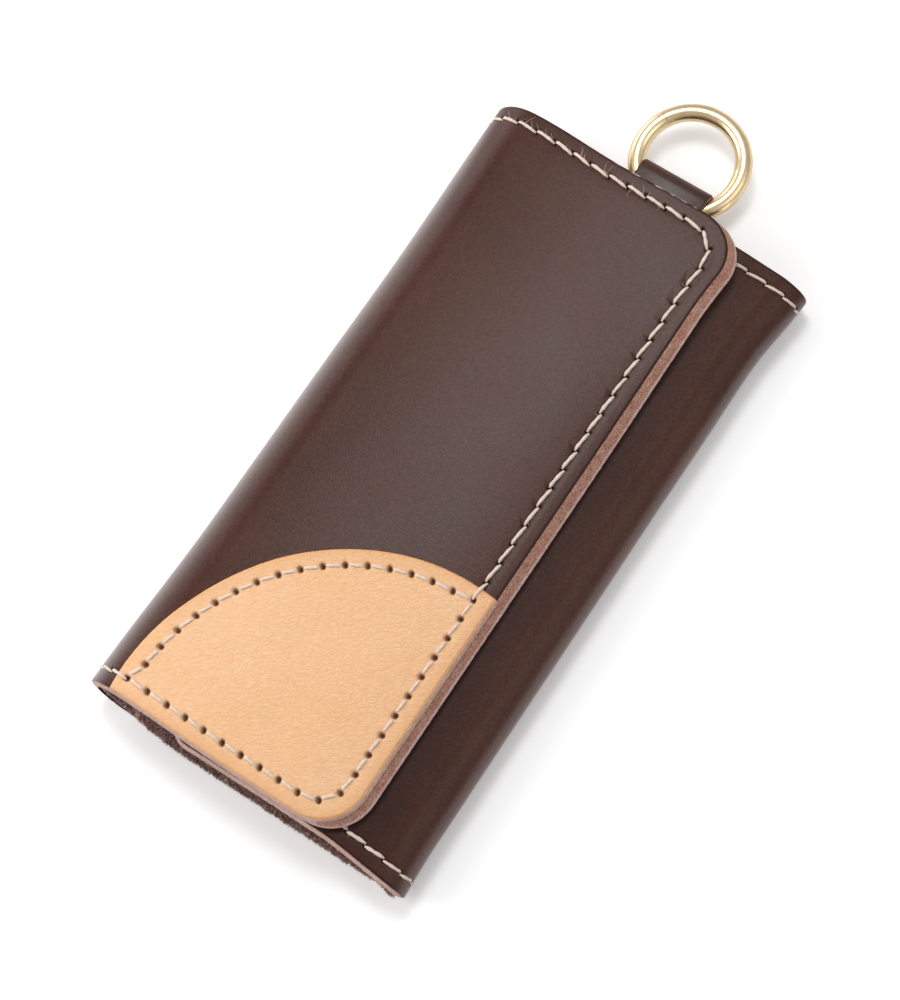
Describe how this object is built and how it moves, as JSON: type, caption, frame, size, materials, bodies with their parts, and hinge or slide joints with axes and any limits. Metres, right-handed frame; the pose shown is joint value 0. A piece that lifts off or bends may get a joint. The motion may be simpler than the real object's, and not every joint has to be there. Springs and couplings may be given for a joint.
{
  "type": "key case",
  "caption": "Folding leather key case with stitched flaps, a tan corner patch, a brass hanging ring and swivel key hooks inside.",
  "frame": {"origin": "middle of the back panel's outer face, on which the closed case lies", "axes": "+X across the case towards the fold of the inner flap, +Y along the case towards the ring, +Z out of the back panel towards the front flap"},
  "size_m": [0.06, 0.1361, 0.0153],
  "materials": {
    "leather_brown": "smooth oiled brown leather, raw cut edges",
    "suede_lining": "dark brown suede",
    "leather_tan": "natural undyed leather",
    "brass": "polished"
  },
  "bodies": {
    "case_back": {"outer_back_panel": "leather_brown", "back_lining": "suede_lining", "left_fold": "leather_brown", "left_fold_lining": "suede_lining", "right_fold": "leather_brown", "right_fold_lining": "suede_lining", "ring_tab": "leather_brown", "key_plate": "brass", "plate_rivets": "brass", "rivet_backs": "brass"},
    "front_flap": {"front_flap_outer": "leather_brown", "front_flap_lining": "suede_lining", "corner_patch": "leather_tan", "snap_cap": "brass", "snap_socket": "brass"},
    "inner_flap": {"inner_flap_outer": "leather_brown", "inner_flap_lining": "suede_lining", "snap_stud": "brass", "snap_post": "brass"},
    "ring": {"hanging_ring": "brass"},
    "hook_1": {"key_hook_1": "brass"},
    "gate_1": {"hook_gate_1": "brass"},
    "hook_2": {"key_hook_2": "brass"},
    "gate_2": {"hook_gate_2": "brass"},
    "hook_3": {"key_hook_3": "brass"},
    "gate_3": {"hook_gate_3": "brass"},
    "hook_4": {"key_hook_4": "brass"},
    "gate_4": {"hook_gate_4": "brass"}
  },
  "joints": [
    {"name": "front_flap_fold", "type": "hinge", "parent": "case_back", "child": "front_flap", "pos_m": [-0.0228, 0, 0.0072], "axis": [0, -1, 0], "range_deg": [0, 180], "deforming": ["left_fold", "left_fold_lining"]},
    {"name": "inner_flap_fold", "type": "hinge", "parent": "case_back", "child": "inner_flap", "pos_m": [0.0245, 0, 0.0055], "axis": [0, 1, 0], "range_deg": [0, 180], "deforming": ["right_fold", "right_fold_lining"]},
    {"name": "ring_swing", "type": "hinge", "parent": "case_back", "child": "ring", "pos_m": [0.001, 0.0586, 0.004], "axis": [1, 0, 0], "range_deg": [-65, 80], "deforming": ["ring_tab"]},
    {"name": "hook_1_swivel", "type": "hinge", "parent": "case_back", "child": "hook_1", "pos_m": [-0.015, 0.027, 0.0055], "axis": [0, 1, 0], "continuous": true},
    {"name": "gate_1_spring", "type": "hinge", "parent": "hook_1", "child": "gate_1", "pos_m": [-0.01275, 0.01935, 0.0055], "axis": [0, 0, -1], "range_deg": [0, 15], "stiffness_Nm_per_rad": 0.002},
    {"name": "hook_2_swivel", "type": "hinge", "parent": "case_back", "child": "hook_2", "pos_m": [-0.005, 0.027, 0.0055], "axis": [0, 1, 0], "continuous": true},
    {"name": "gate_2_spring", "type": "hinge", "parent": "hook_2", "child": "gate_2", "pos_m": [-0.00275, 0.01935, 0.0055], "axis": [0, 0, -1], "range_deg": [0, 15], "stiffness_Nm_per_rad": 0.002},
    {"name": "hook_3_swivel", "type": "hinge", "parent": "case_back", "child": "hook_3", "pos_m": [0.005, 0.027, 0.0055], "axis": [0, 1, 0], "continuous": true},
    {"name": "gate_3_spring", "type": "hinge", "parent": "hook_3", "child": "gate_3", "pos_m": [0.00725, 0.01935, 0.0055], "axis": [0, 0, -1], "range_deg": [0, 15], "stiffness_Nm_per_rad": 0.002},
    {"name": "hook_4_swivel", "type": "hinge", "parent": "case_back", "child": "hook_4", "pos_m": [0.015, 0.027, 0.0055], "axis": [0, 1, 0], "continuous": true},
    {"name": "gate_4_spring", "type": "hinge", "parent": "hook_4", "child": "gate_4", "pos_m": [0.01725, 0.01935, 0.0055], "axis": [0, 0, -1], "range_deg": [0, 15], "stiffness_Nm_per_rad": 0.002}
  ],
  "couplings": [
    {"joint": "inner_flap_fold", "follows": "front_flap_fold", "ratio": 0.3333}
  ]
}
